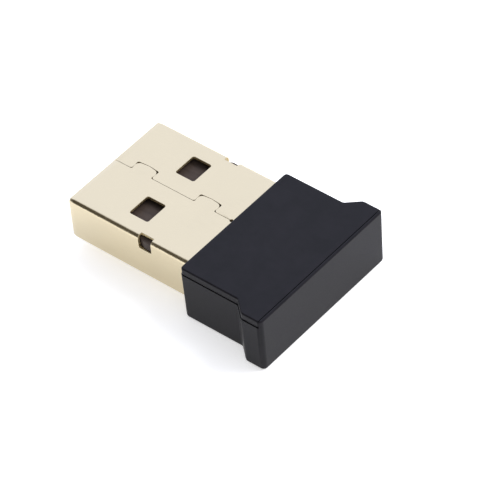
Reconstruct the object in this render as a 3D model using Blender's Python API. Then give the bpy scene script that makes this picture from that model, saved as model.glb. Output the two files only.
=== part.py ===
"""A very small USB wireless adapter: a folded metal plug shell, the contact carrier and its four
contacts, the circuit board with its parts, and a two-piece plastic housing.

Frame: +Z up, the plug points to -X, and the folded seam of the shell faces +Z. The origin is the
centre of the footprint, on the plane that the housing rests on. Units are metres.
"""

import math

import bmesh
import bpy
from mathutils import Vector

MM = 0.001

# Overall layout along X, measured from the tip of the plug.
TOTAL_LENGTH = 22.9 * MM
PLUG_LENGTH = 13.25 * MM
TIP_X = -0.5 * TOTAL_LENGTH

# Plug shell: a standard type A plug, folded from sheet.
SHELL_WIDTH = 12.0 * MM
SHELL_HEIGHT = 4.5 * MM
SHELL_BOTTOM_Z = 1.0 * MM
SHELL_TOP_Z = SHELL_BOTTOM_Z + SHELL_HEIGHT
SHEET = 0.3 * MM
SHELL_BEND = 0.42 * MM
SHELL_BACK = 15.0 * MM
SHELL_TAB_BACK = 17.0 * MM
SHELL_TAB_LOW = SHELL_BOTTOM_Z + 1.0 * MM
SHELL_TAB_HIGH = SHELL_BOTTOM_Z + 3.0 * MM
SHELL_INNER_BEND = 0.12 * MM
NOSE_DEPTH = 0.1 * MM
NOSE_LENGTH = 0.6 * MM
NOSE_STEPS = 5
SHOULDER_MARGIN = 0.05 * MM
SHELL_BACK_TAPER = 0.04 * MM

# Openings in the shell.
WINDOW_FRONT = 5.35 * MM
WINDOW_LENGTH = 2.05 * MM
WINDOW_WIDTH = 2.4 * MM
WINDOW_INNER_Y = 1.8 * MM
WINDOW_CORNER = 0.2 * MM
NOTCH_FRONT = 7.8 * MM
NOTCH_LENGTH = 1.38 * MM
NOTCH_DEPTH = 1.3 * MM
NOTCH_INNER_Y = 5.45 * MM
NOTCH_CORNER = 0.12 * MM

# Interlocking seam along the middle of the seam face.
SEAM_GAP = 0.06 * MM
SEAM_Y = 0.02 * MM
SEAM_TAB_CENTRES = (3.07 * MM, 10.06 * MM)
SEAM_TAB_HALF = 1.1 * MM
SEAM_TAB_HEIGHT = 0.97 * MM
SEAM_TAB_CORNER = 0.28 * MM
SEAM_TAB_FOOT = 0.18 * MM
SEAM_TAB_FLARE = 0.05 * MM
SEAM_TAB_CROWN = 0.08 * MM
SEAM_HOLE_X = 13.05 * MM
SEAM_HOLE_RADIUS = 0.14 * MM

# Housing: a tray and a lid with one outline, narrow at the plug and flared at the closed end. The
# tray stands slightly proud of the lid, and its end wall rises to the top behind the lid.
HOUSING_HEIGHT = 5.8 * MM
PARTING_Z = 5.05 * MM
PARTING_GAP = 0.08 * MM
LID_STEP = 0.06 * MM
END_WALL_TOP = 0.25 * MM
NARROW_HALF = 7.04 * MM
WIDE_HALF = 8.14 * MM
FLARE_FRONT = 19.4 * MM
FLARE_ANGLE = 41.0
FLARE_FOOT = 0.3 * MM
FLARE_CREST = 0.6 * MM
DRAFT = 0.1 * MM
FRONT_CORNER = 0.4 * MM
END_CORNER = 0.45 * MM
TOP_EDGE = 0.15 * MM
BOTTOM_EDGE = 0.3 * MM
WALL = 0.85 * MM
INNER_FRONT_CORNER = 0.3 * MM
INNER_CREST = 0.2 * MM
INNER_END_CORNER = 0.4 * MM
SMALLEST_CORNER = 0.05 * MM
FLOOR = 0.7 * MM
CEILING_Z = 5.15 * MM
LIP_THICKNESS = 0.4 * MM
LIP_BOTTOM_Z = 4.45 * MM
SHELL_CLEARANCE = 0.06 * MM
JOINT_GAP = 0.05 * MM

# Ribs inside the housing that hold the edges of the board.
RIB_FRONT = 18.0 * MM
RIB_BACK = 18.6 * MM
BASE_RIB_INNER_Y = 5.3 * MM
BASE_RIB_OUTER_Y = 6.4 * MM
COVER_RIB_INNER_Y = 5.1 * MM
COVER_RIB_OUTER_Y = 5.8 * MM
COVER_RIB_TOP_Z = CEILING_Z + 0.1 * MM

# Contact carrier, in the seam half of the plug. Its pads face the empty half.
CARRIER_FRONT = 0.35 * MM
CARRIER_BACK = 14.4 * MM
CARRIER_BLOCK_FRONT = 11.6 * MM
CARRIER_HALF = 5.64 * MM
CARRIER_TOP_Z = SHELL_BOTTOM_Z + 4.14 * MM
CARRIER_UNDER_Z = SHELL_BOTTOM_Z + 2.15 * MM
CARRIER_LOW_Z = SHELL_BOTTOM_Z + 0.36 * MM
CARRIER_LEAD = 0.35 * MM
WINDOW_POCKET_Z = SHELL_BOTTOM_Z + 3.88 * MM
WINDOW_POCKET_MARGIN = 0.25 * MM
LATCH_GAP = 0.06 * MM
LATCH_RAMP = 0.5 * MM
LATCH_ROOT_Y = CARRIER_HALF - 0.3 * MM
LATCH_CREST_Y = 5.88 * MM
LATCH_LOW_Z = SHELL_TOP_Z - NOTCH_DEPTH + 0.08 * MM
LATCH_TOP_Z = CARRIER_TOP_Z - 0.04 * MM

# Contacts: flat strips, the two supply strips longer than the two data strips.
CONTACT_WIDTH = 1.0 * MM
CONTACT_THICKNESS = 0.2 * MM
CONTACT_UNDER_Z = SHELL_BOTTOM_Z + 2.05 * MM
CONTACT_BACK = 16.4 * MM
CONTACT_NOSE_RISE = 0.25 * MM
CONTACT_NOSE_LENGTH = 0.6 * MM
CONTACT_CURVE_TOP = 0.45
CONTACT_CURVE_UNDER = 0.2
CONTACTS = (
    ("contact_vbus", -3.5 * MM, 1.3 * MM),
    ("contact_data_minus", -1.0 * MM, 2.3 * MM),
    ("contact_data_plus", 1.0 * MM, 2.3 * MM),
    ("contact_ground", 3.5 * MM, 1.3 * MM),
)

# Circuit board.
BOARD_LOW_Z = SHELL_BOTTOM_Z + 1.2 * MM
BOARD_TOP_Z = SHELL_BOTTOM_Z + 2.0 * MM
BOARD_FRONT = 14.6 * MM
BOARD_END = 21.8 * MM
BOARD_STEP_X = 17.15 * MM
BOARD_FLARE_FRONT = 20.3 * MM
BOARD_FLARE_BACK = 21.1 * MM
BOARD_NECK_HALF = 5.6 * MM
BOARD_NARROW_HALF = 5.95 * MM
BOARD_WIDE_HALF = 6.95 * MM

# Parts on the board. A place is the distance from the tip and from the middle line; a size is
# length, width and height, with the length along X.
PACKAGE_CORNER = 0.08 * MM
PACKAGE_EDGE = 0.04 * MM
PACKAGE_SHOULDER = 0.85
LOWER_PACKAGES = (
    ("wifi_chip", (17.7 * MM, 0.0), (4.5 * MM, 6.5 * MM, 0.85 * MM), "package_black"),
    ("surge_diode", (20.9 * MM, -2.6 * MM), (1.0 * MM, 1.6 * MM, 0.5 * MM), "package_black"),
    ("power_inductor", (17.9 * MM, 4.35 * MM), (2.0 * MM, 1.6 * MM, 1.0 * MM), "dark_ceramic"),
)

REGULATOR_PLACE = (18.35 * MM, 3.0 * MM)
REGULATOR_LENGTH = 1.5 * MM
REGULATOR_WIDTH = 2.9 * MM
REGULATOR_HEIGHT = 1.0 * MM
REGULATOR_STANDOFF = 0.1 * MM
REGULATOR_SIDES = ((0.0, 0.08 * MM), (0.5, 0.0), (1.0, 0.1 * MM))
LEAD_WIDTH = 0.4 * MM
LEAD_THICKNESS = 0.14 * MM
LEAD_PITCH = 0.95 * MM
LEAD_REACH = 0.5 * MM
LEAD_SHOULDER = 0.2 * MM
LEAD_ROOT = 0.25 * MM
LEAD_LEVEL = 0.45 * MM

CRYSTAL_PLACE = (18.35 * MM, -3.1 * MM)
CRYSTAL_SIZE = (2.5 * MM, 3.2 * MM, 0.45 * MM)
CRYSTAL_LID_LENGTH = 2.2 * MM
CRYSTAL_LID_WIDTH = 2.9 * MM
CRYSTAL_LID_CORNER = 0.3 * MM
CRYSTAL_LID_SIDES = ((0.0, 0.0), (0.1 * MM, 0.0), (0.22 * MM, 0.15 * MM))

TERMINAL_PROUD = 0.03 * MM
TERMINAL_SHARE = 0.22
SMALL_PART = (1.0 * MM, 0.5 * MM, 0.5 * MM)
MEDIUM_PART = (1.6 * MM, 0.8 * MM, 0.8 * MM)
TWO_TERMINAL_PARTS = (
    ("crystal_capacitor_1", (17.5 * MM, -0.9 * MM), SMALL_PART, "tan_ceramic"),
    ("crystal_capacitor_2", (19.2 * MM, -0.9 * MM), SMALL_PART, "tan_ceramic"),
    ("decoupling_capacitor_1", (17.5 * MM, 0.0), SMALL_PART, "tan_ceramic"),
    ("decoupling_capacitor_2", (19.2 * MM, 0.0), SMALL_PART, "tan_ceramic"),
    ("decoupling_capacitor_3", (17.5 * MM, 0.9 * MM), SMALL_PART, "tan_ceramic"),
    ("decoupling_capacitor_4", (19.2 * MM, 0.9 * MM), SMALL_PART, "tan_ceramic"),
    ("bias_resistor_1", (19.75 * MM, -5.0 * MM), SMALL_PART, "package_black"),
    ("bias_resistor_2", (19.75 * MM, -5.7 * MM), SMALL_PART, "package_black"),
    ("ferrite_bead", (19.75 * MM, 5.2 * MM), MEDIUM_PART, "dark_ceramic"),
    ("antenna_inductor", (21.2 * MM, 4.4 * MM), SMALL_PART, "dark_ceramic"),
    ("antenna_capacitor", (21.2 * MM, 5.3 * MM), SMALL_PART, "tan_ceramic"),
)
ANTENNA_PLACE = (20.95 * MM, 0.0)
ANTENNA_SIZE = (7.0 * MM, 1.4 * MM, 0.9 * MM)

# Colour, roughness and metallic value of each material.
MATERIALS = {
    "gold_plate": ((0.83, 0.72, 0.50), 0.25, 1.0),
    "contact_gold": ((0.90, 0.68, 0.32), 0.2, 1.0),
    "housing_black": ((0.028, 0.028, 0.032), 0.35, 0.0),
    "carrier_black": ((0.035, 0.032, 0.032), 0.5, 0.0),
    "board_green": ((0.02, 0.16, 0.07), 0.4, 0.0),
    "package_black": ((0.03, 0.03, 0.03), 0.55, 0.0),
    "white_ceramic": ((0.75, 0.72, 0.66), 0.5, 0.0),
    "tan_ceramic": ((0.45, 0.32, 0.20), 0.45, 0.0),
    "dark_ceramic": ((0.12, 0.12, 0.13), 0.5, 0.0),
    "lid_metal": ((0.72, 0.70, 0.66), 0.3, 1.0),
}

ARC_STEPS = 5


def clear_scene():
    """Remove whatever the file holds, so the model is the only thing in it."""
    for item in list(bpy.data.objects):
        bpy.data.objects.remove(item, do_unlink=True)
    for mesh in list(bpy.data.meshes):
        bpy.data.meshes.remove(mesh)


def make_material(name, color, roughness, metallic):
    material = bpy.data.materials.new(name)
    material.use_nodes = True
    shader = material.node_tree.nodes["Principled BSDF"]
    shader.inputs["Base Color"].default_value = (*color, 1.0)
    shader.inputs["Roughness"].default_value = roughness
    shader.inputs["Metallic"].default_value = metallic
    material.diffuse_color = (*color, 1.0)
    return material


def add_object(name, mesh_builder, material=None, smooth_angle=35.0):
    """Turn a bmesh into an object with outward faces and smooth round surfaces."""
    bmesh.ops.recalc_face_normals(mesh_builder, faces=mesh_builder.faces[:])
    mesh = bpy.data.meshes.new(name)
    mesh_builder.to_mesh(mesh)
    mesh_builder.free()
    mesh.shade_smooth()
    mesh.set_sharp_from_angle(angle=math.radians(smooth_angle))
    item = bpy.data.objects.new(name, mesh)
    bpy.context.collection.objects.link(item)
    if material is not None:
        mesh.materials.append(material)
    return item


def add_tool(name, mesh_builder):
    """A helper solid for a Boolean, left out of the model itself."""
    tool = add_object(name, mesh_builder)
    tool.hide_render = True
    tool.display_type = "WIRE"
    return tool


def combine(item, tool, operation):
    """Cut or join a helper solid with an object."""
    modifier = item.modifiers.new(tool.name, "BOOLEAN")
    modifier.operation = operation
    modifier.object = tool
    modifier.solver = "EXACT"


def arc(centre_a, centre_b, radius, start, end, steps=ARC_STEPS):
    """Points on an arc, with both ends, as pairs. Angles are in degrees."""
    points = []
    for step in range(steps + 1):
        angle = math.radians(start + (end - start) * step / steps)
        points.append((centre_a + radius * math.cos(angle), centre_b + radius * math.sin(angle)))
    return points


def rounded_rectangle(low_a, high_a, low_b, high_b, radius, steps=ARC_STEPS):
    """Closed outline of a rectangle with round corners, as pairs."""
    outline = arc(high_a - radius, high_b - radius, radius, 0, 90, steps)
    outline += arc(low_a + radius, high_b - radius, radius, 90, 180, steps)
    outline += arc(low_a + radius, low_b + radius, radius, 180, 270, steps)
    outline += arc(high_a - radius, low_b + radius, radius, 270, 360, steps)
    return outline


def skin(builder, rings, loop=False):
    """Join rings of equal length with faces. The ends are capped, or joined when loop is set."""
    rows = [[builder.verts.new(point) for point in ring] for ring in rings]
    count = len(rows[0])
    pairs = list(zip(rows[:-1], rows[1:]))
    if loop:
        pairs.append((rows[-1], rows[0]))
    else:
        builder.faces.new(rows[0])
        builder.faces.new(rows[-1])
    for first, second in pairs:
        for index in range(count):
            following = (index + 1) % count
            builder.faces.new((first[index], first[following], second[following], second[index]))


def add_box(builder, low, high):
    """A plain box between two corners."""
    (ax, ay, az), (bx, by, bz) = low, high
    corners = ((ax, ay), (bx, ay), (bx, by), (ax, by))
    skin(builder, [[(x, y, z) for x, y in corners] for z in (az, bz)])


def prism_z(builder, outline, low, high):
    """An outline in X and Y, raised along Z."""
    skin(builder, [[(x, y, z) for x, y in outline] for z in (low, high)])


def prism_y(builder, outline, low, high):
    """An outline in X and Z, raised along Y."""
    skin(builder, [[(x, y, z) for x, z in outline] for y in (low, high)])


# ---------------------------------------------------------------- plug shell


def shell_section(distance, inset):
    """Cross-section of the shell, a given distance from the tip, as a ring of points."""
    half = 0.5 * SHELL_WIDTH - inset
    low = SHELL_BOTTOM_Z + inset
    high = SHELL_TOP_Z - inset
    radius = max(SHELL_BEND - inset, SHELL_INNER_BEND)
    outline = rounded_rectangle(-half, half, low, high, radius)
    return [(TIP_X + distance, y, z) for y, z in outline]


def nose_inset(distance):
    """How far the lead-in at the mouth stands inside the straight shell."""
    reach = min(distance / NOSE_LENGTH, 1.0)
    return NOSE_DEPTH * (1.0 - reach) ** 2


def seam_path():
    """The middle line of the seam, from the mouth to the back, as pairs in X and Y."""
    path = [(TIP_X - SHEET, SEAM_Y)]
    for centre in SEAM_TAB_CENTRES:
        middle = TIP_X + centre
        top = SEAM_Y + SEAM_TAB_HEIGHT
        foot = SEAM_TAB_HALF + SEAM_TAB_FOOT
        corner = SEAM_TAB_HALF + SEAM_TAB_FLARE - SEAM_TAB_CORNER
        left = arc(middle - foot, SEAM_Y + SEAM_TAB_FOOT, SEAM_TAB_FOOT, -90, 0, 3)
        left += arc(middle - corner, top - SEAM_TAB_CORNER, SEAM_TAB_CORNER, 180, 95, 4)
        path += left
        path.append((middle, top + SEAM_TAB_CROWN))
        path += [(2.0 * middle - x, y) for x, y in reversed(left)]
    path.append((TIP_X + SHELL_TAB_BACK + SHEET, SEAM_Y))
    return path


def offset_path(path, distance):
    """The path moved sideways by a small distance."""
    moved = []
    for index, (x, y) in enumerate(path):
        before = path[max(index - 1, 0)]
        after = path[min(index + 1, len(path) - 1)]
        along = Vector((after[0] - before[0], after[1] - before[1])).normalized()
        moved.append((x - along.y * distance, y + along.x * distance))
    return moved


def seam_tool():
    """A thin ribbon that follows the seam and cuts the seam face only."""
    path = seam_path()
    left = offset_path(path, 0.5 * SEAM_GAP)
    right = offset_path(path, -0.5 * SEAM_GAP)
    low = SHELL_BOTTOM_Z + 0.5 * SHELL_HEIGHT
    high = SHELL_TOP_Z + SHEET
    builder = bmesh.new()
    rings = []
    for (left_x, left_y), (right_x, right_y) in zip(left, right):
        rings.append([
            (left_x, left_y, low),
            (right_x, right_y, low),
            (right_x, right_y, high),
            (left_x, left_y, high),
        ])
    skin(builder, rings)
    return add_tool("tool_seam", builder)


def window_outline(side, margin=0.0):
    """Outline of the window on one side of the seam, in X and Y."""
    near = side * (WINDOW_INNER_Y - margin)
    far = side * (WINDOW_INNER_Y + WINDOW_WIDTH + margin)
    front = TIP_X + WINDOW_FRONT - margin
    back = TIP_X + WINDOW_FRONT + WINDOW_LENGTH + margin
    return rounded_rectangle(front, back, min(near, far), max(near, far), WINDOW_CORNER, 4)


def shell_openings_tool():
    """The windows through both wide faces, and the small hole at the end of the seam."""
    builder = bmesh.new()
    low = SHELL_BOTTOM_Z - SHEET
    high = SHELL_TOP_Z + SHEET
    for side in (-1, 1):
        prism_z(builder, window_outline(side), low, high)
    middle = SHELL_BOTTOM_Z + 0.5 * SHELL_HEIGHT
    hole = arc(TIP_X + SEAM_HOLE_X, SEAM_Y, SEAM_HOLE_RADIUS, 0, 330, 11)
    prism_z(builder, hole, middle, high)
    return add_tool("tool_windows", builder)


def shell_notches_tool():
    """The notches across both seam-side bends, where the carrier latches."""
    builder = bmesh.new()
    high = SHELL_TOP_Z
    front = TIP_X + NOTCH_FRONT
    outline = rounded_rectangle(front, front + NOTCH_LENGTH, high - NOTCH_DEPTH, high + SHEET,
                                NOTCH_CORNER, 3)
    outside = 0.5 * SHELL_WIDTH + SHEET
    prism_y(builder, outline, NOTCH_INNER_Y, outside)
    prism_y(builder, outline, -outside, -NOTCH_INNER_Y)
    return add_tool("tool_notches", builder)


def shell_back_tool():
    """Takes the wide faces off behind the shell, which leaves the two solder tabs."""
    builder = bmesh.new()
    front = TIP_X + SHELL_BACK
    back = TIP_X + SHELL_TAB_BACK + SHEET
    half = 0.5 * SHELL_WIDTH + SHEET
    add_box(builder, (front, -half, SHELL_BOTTOM_Z - SHEET), (back, half, SHELL_TAB_LOW))
    add_box(builder, (front, -half, SHELL_TAB_HIGH), (back, half, SHELL_TOP_Z + SHEET))
    return add_tool("tool_shell_back", builder)


def make_shell(material):
    """The folded tube with its lead-in, then the openings cut through it.

    Inside the housing it narrows slightly towards its back, so the flat outer faces end at the
    shoulder of the housing.
    """
    stations = []
    for step in range(NOSE_STEPS + 1):
        distance = NOSE_LENGTH * step / NOSE_STEPS
        stations.append((distance, nose_inset(distance)))
    stations.append((PLUG_LENGTH - SHOULDER_MARGIN, 0.0))
    stations.append((SHELL_TAB_BACK, SHELL_BACK_TAPER))
    outer = [shell_section(distance, inset) for distance, inset in stations]
    inner = [shell_section(distance, inset + SHEET) for distance, inset in stations]
    builder = bmesh.new()
    skin(builder, outer + inner[::-1], loop=True)
    shell = add_object("metal_shell", builder, material)
    tools = (shell_openings_tool(), shell_notches_tool(), shell_back_tool(), seam_tool())
    for tool in tools:
        combine(shell, tool, "DIFFERENCE")
    return shell


# ---------------------------------------------------------------- carrier and contacts


def contact_profile(front, grow):
    """Side view of a contact strip whose front end turns up, thicker by grow all round."""
    low = CONTACT_UNDER_Z - grow
    high = CONTACT_UNDER_Z + CONTACT_THICKNESS + grow
    tip = TIP_X + front - grow
    middle = tip + 0.5 * CONTACT_NOSE_LENGTH
    level = tip + CONTACT_NOSE_LENGTH
    back = TIP_X + CONTACT_BACK + grow
    return [
        (tip, low + CONTACT_NOSE_RISE),
        (tip, high + CONTACT_NOSE_RISE),
        (middle, high + CONTACT_CURVE_TOP * CONTACT_NOSE_RISE),
        (level, high),
        (back, high),
        (back, low),
        (level, low),
        (middle, low + CONTACT_CURVE_UNDER * CONTACT_NOSE_RISE),
    ]


def make_contacts(material):
    for name, middle_y, front in CONTACTS:
        builder = bmesh.new()
        outline = contact_profile(front, 0.0)
        prism_y(builder, outline, middle_y - 0.5 * CONTACT_WIDTH, middle_y + 0.5 * CONTACT_WIDTH)
        add_object(name, builder, material)


def carrier_slots_tool():
    """A channel for each contact, open downwards, and a shallow pocket under each window."""
    builder = bmesh.new()
    for _, middle_y, front in CONTACTS:
        half = 0.5 * CONTACT_WIDTH + JOINT_GAP
        outline = contact_profile(front, JOINT_GAP)
        prism_y(builder, outline, middle_y - half, middle_y + half)
    for side in (-1, 1):
        outline = window_outline(side, WINDOW_POCKET_MARGIN)
        prism_z(builder, outline, WINDOW_POCKET_Z, CARRIER_TOP_Z + SHEET)
    return add_tool("tool_carrier_slots", builder)


def carrier_latches_tool():
    """Two wedges that snap into the notches of the shell."""
    builder = bmesh.new()
    front = TIP_X + NOTCH_FRONT + LATCH_GAP
    back = TIP_X + NOTCH_FRONT + NOTCH_LENGTH - LATCH_GAP
    for side in (-1, 1):
        outline = [
            (front, side * LATCH_ROOT_Y),
            (front, side * CARRIER_HALF),
            (front + LATCH_RAMP, side * LATCH_CREST_Y),
            (back, side * LATCH_CREST_Y),
            (back, side * LATCH_ROOT_Y),
        ]
        prism_z(builder, outline, LATCH_LOW_Z, LATCH_TOP_Z)
    return add_tool("tool_carrier_latches", builder)


def make_carrier(material):
    """A thick tongue with a full-height block behind it."""
    front = TIP_X + CARRIER_FRONT
    block = TIP_X + CARRIER_BLOCK_FRONT
    back = TIP_X + CARRIER_BACK
    outline = [
        (front, CARRIER_UNDER_Z + CARRIER_LEAD),
        (front, CARRIER_TOP_Z - CARRIER_LEAD),
        (front + CARRIER_LEAD, CARRIER_TOP_Z),
        (back, CARRIER_TOP_Z),
        (back, CARRIER_LOW_Z),
        (block, CARRIER_LOW_Z),
        (block, CARRIER_UNDER_Z),
        (front + CARRIER_LEAD, CARRIER_UNDER_Z),
    ]
    builder = bmesh.new()
    prism_y(builder, outline, -CARRIER_HALF, CARRIER_HALF)
    carrier = add_object("contact_carrier", builder, material)
    combine(carrier, carrier_latches_tool(), "UNION")
    combine(carrier, carrier_slots_tool(), "DIFFERENCE")
    return carrier


# ---------------------------------------------------------------- housing


def flared_outline(inset, front_inset, front_corner, crest, end_corner):
    """Plan of the housing, drawn in by an inset: narrow, then a slope on both sides, then wide.

    The round at the foot of the slope keeps its centre, so every inset gives a parallel slope.
    """
    front = TIP_X + PLUG_LENGTH + front_inset
    end = TIP_X + TOTAL_LENGTH - inset
    narrow = NARROW_HALF - inset
    wide = WIDE_HALF - inset
    foot = FLARE_FOOT + inset
    slope = math.radians(FLARE_ANGLE)
    start = TIP_X + FLARE_FRONT
    straight_rise = wide - narrow - (foot + crest) * (1.0 - math.cos(slope))
    stop = start + (foot + crest) * math.sin(slope) + straight_rise / math.tan(slope)
    half = arc(front + front_corner, narrow - front_corner, front_corner, 180, 90)
    half += arc(start, narrow + foot, foot, -90, FLARE_ANGLE - 90)
    half += arc(stop, wide - crest, crest, 90 + FLARE_ANGLE, 90)
    half += arc(end - end_corner, wide - end_corner, end_corner, 90, 0)
    return half + [(x, -y) for x, y in reversed(half)]


def outer_ring(height, edge=0.0):
    """Outside of the housing at a height, drawn in by the draft and by an edge rounding."""
    inset = DRAFT * (1.0 - height / HOUSING_HEIGHT) + edge
    outline = flared_outline(
        inset,
        edge,
        max(FRONT_CORNER - edge, SMALLEST_CORNER),
        max(FLARE_CREST - inset, SMALLEST_CORNER),
        max(END_CORNER - edge, SMALLEST_CORNER),
    )
    return [(x, y, height) for x, y in outline]


def inner_ring(height, gap):
    """Inside of the housing at a height, a gap in from the inner face of the wall."""
    inset = WALL + gap
    outline = flared_outline(inset, inset, INNER_FRONT_CORNER, INNER_CREST, INNER_END_CORNER)
    return [(x, y, height) for x, y in outline]


def rounded_edge(radius, steps=4):
    """Pairs of inset and drop along a quarter-round edge, from the wall to the face."""
    pairs = []
    for step in range(steps + 1):
        angle = 0.5 * math.pi * step / steps
        pairs.append((radius * (1.0 - math.cos(angle)), radius * (1.0 - math.sin(angle))))
    return pairs


def plug_passage_tool(name):
    """Room for the shell in the front of the housing."""
    builder = bmesh.new()
    half = 0.5 * SHELL_WIDTH + SHELL_CLEARANCE
    low = SHELL_BOTTOM_Z - SHELL_CLEARANCE
    high = SHELL_TOP_Z + SHELL_CLEARANCE
    front = TIP_X + PLUG_LENGTH - SHEET
    back = TIP_X + SHELL_BACK + SHELL_CLEARANCE
    outline = rounded_rectangle(-half, half, low, high, SHELL_BEND + SHELL_CLEARANCE)
    skin(builder, [[(x, y, z) for y, z in outline] for x in (front, back)])
    return add_tool(name, builder)


def support_tool(name, low, high, inner_y, outer_y):
    """A rib on both sides, under or over the edges of the board."""
    builder = bmesh.new()
    front = TIP_X + RIB_FRONT
    back = TIP_X + RIB_BACK
    add_box(builder, (front, inner_y, low), (back, outer_y, high))
    add_box(builder, (front, -outer_y, low), (back, -inner_y, high))
    return add_tool(name, builder)


def lid_seat_tool(name, low, gap):
    """The space of the lid, above a height and up to the end wall of the tray."""
    front = TIP_X + PLUG_LENGTH - WALL
    back = TIP_X + TOTAL_LENGTH - END_WALL_TOP + gap
    half = WIDE_HALF + WALL
    builder = bmesh.new()
    add_box(builder, (front, -half, low), (back, half, HOUSING_HEIGHT + WALL))
    return add_tool(name, builder)


def make_base(material):
    """The lower tray: outside up to the top, then down the inside to the floor.

    The walls are cut down to the parting line, apart from the end wall behind the lid.
    """
    rings = [outer_ring(drop, inset) for inset, drop in reversed(rounded_edge(BOTTOM_EDGE))]
    for inset, drop in rounded_edge(TOP_EDGE):
        rings.append(outer_ring(HOUSING_HEIGHT - drop, inset))
    rings.append(inner_ring(HOUSING_HEIGHT, 0.0))
    rings.append(inner_ring(FLOOR, 0.0))
    builder = bmesh.new()
    skin(builder, rings)
    base = add_object("housing_base", builder, material)
    low = 0.5 * FLOOR
    high = BOARD_LOW_Z - JOINT_GAP
    ribs = support_tool("tool_base_ribs", low, high, BASE_RIB_INNER_Y, BASE_RIB_OUTER_Y)
    combine(base, ribs, "UNION")
    combine(base, lid_seat_tool("tool_base_seat", PARTING_Z, 0.0), "DIFFERENCE")
    combine(base, plug_passage_tool("tool_base_passage"), "DIFFERENCE")
    return base


def make_cover(material):
    """The lid, with a lip that drops inside the tray."""
    bottom = PARTING_Z + PARTING_GAP
    rings = [inner_ring(CEILING_Z, JOINT_GAP + LIP_THICKNESS)]
    rings.append(inner_ring(LIP_BOTTOM_Z, JOINT_GAP + LIP_THICKNESS))
    rings.append(inner_ring(LIP_BOTTOM_Z, JOINT_GAP))
    rings.append(inner_ring(bottom, JOINT_GAP))
    rings.append(outer_ring(bottom, LID_STEP))
    for inset, drop in rounded_edge(TOP_EDGE):
        rings.append(outer_ring(HOUSING_HEIGHT - drop, LID_STEP + inset))
    builder = bmesh.new()
    skin(builder, rings)
    cover = add_object("housing_cover", builder, material)
    low = BOARD_TOP_Z + JOINT_GAP
    ribs = support_tool("tool_cover_ribs", low, COVER_RIB_TOP_Z, COVER_RIB_INNER_Y, COVER_RIB_OUTER_Y)
    combine(cover, ribs, "UNION")
    combine(cover, lid_seat_tool("tool_cover_seat", 0.0, -PARTING_GAP), "INTERSECT")
    combine(cover, plug_passage_tool("tool_cover_passage"), "DIFFERENCE")
    return cover


# ---------------------------------------------------------------- circuit board and its parts


def make_board(material):
    """Board with a neck between the solder tabs and a wide end for the antenna."""
    half = [
        (TIP_X + BOARD_FRONT, BOARD_NECK_HALF),
        (TIP_X + BOARD_STEP_X, BOARD_NECK_HALF),
        (TIP_X + BOARD_STEP_X, BOARD_NARROW_HALF),
        (TIP_X + BOARD_FLARE_FRONT, BOARD_NARROW_HALF),
        (TIP_X + BOARD_FLARE_BACK, BOARD_WIDE_HALF),
        (TIP_X + BOARD_END, BOARD_WIDE_HALF),
    ]
    outline = half + [(x, -y) for x, y in reversed(half)]
    builder = bmesh.new()
    prism_z(builder, outline, BOARD_LOW_Z, BOARD_TOP_Z)
    return add_object("circuit_board", builder, material)


def centred_outline(place, half_x, half_y, corner, steps):
    """A rounded rectangle around a place on the board."""
    middle_x = TIP_X + place[0]
    middle_y = place[1]
    return rounded_rectangle(middle_x - half_x, middle_x + half_x, middle_y - half_y,
                             middle_y + half_y, corner, steps)


def stacked(builder, place, length, width, corner, steps, levels):
    """A body built up from rounded rectangles; levels are pairs of height and inset."""
    rings = []
    for level, inset in levels:
        outline = centred_outline(place, 0.5 * length - inset, 0.5 * width - inset, corner, steps)
        rings.append([(x, y, level) for x, y in outline])
    skin(builder, rings)


def make_package(name, place, size, material, below=False):
    """A flat package with a slightly smaller outer face, on or under the board."""
    length, width, height = size
    root = BOARD_LOW_Z - JOINT_GAP if below else BOARD_TOP_Z + JOINT_GAP
    direction = -1.0 if below else 1.0
    levels = [
        (root, 0.0),
        (root + PACKAGE_SHOULDER * direction * height, 0.0),
        (root + direction * height, PACKAGE_EDGE),
    ]
    builder = bmesh.new()
    stacked(builder, place, length, width, PACKAGE_CORNER, 2, levels)
    return add_object(name, builder, material)


def make_two_terminal(name, place, size, material, along_x=True):
    """A block whose two metal ends stand slightly proud of its body."""
    length, width, height = size
    root = BOARD_TOP_Z + JOINT_GAP
    half = 0.5 * length
    shoulder = half - TERMINAL_SHARE * length
    stations = (
        (-half, 0.0),
        (-shoulder, 0.0),
        (-shoulder, TERMINAL_PROUD),
        (shoulder, TERMINAL_PROUD),
        (shoulder, 0.0),
        (half, 0.0),
    )
    rings = []
    for distance, inset in stations:
        across = 0.5 * width - inset
        low = root + inset
        high = root + height - inset
        section = ((-across, low), (across, low), (across, high), (-across, high))
        ring = []
        for side, level in section:
            x, y = (distance, side) if along_x else (side, distance)
            ring.append((TIP_X + place[0] + x, place[1] + y, level))
        rings.append(ring)
    builder = bmesh.new()
    skin(builder, rings)
    return add_object(name, builder, material)


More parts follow.
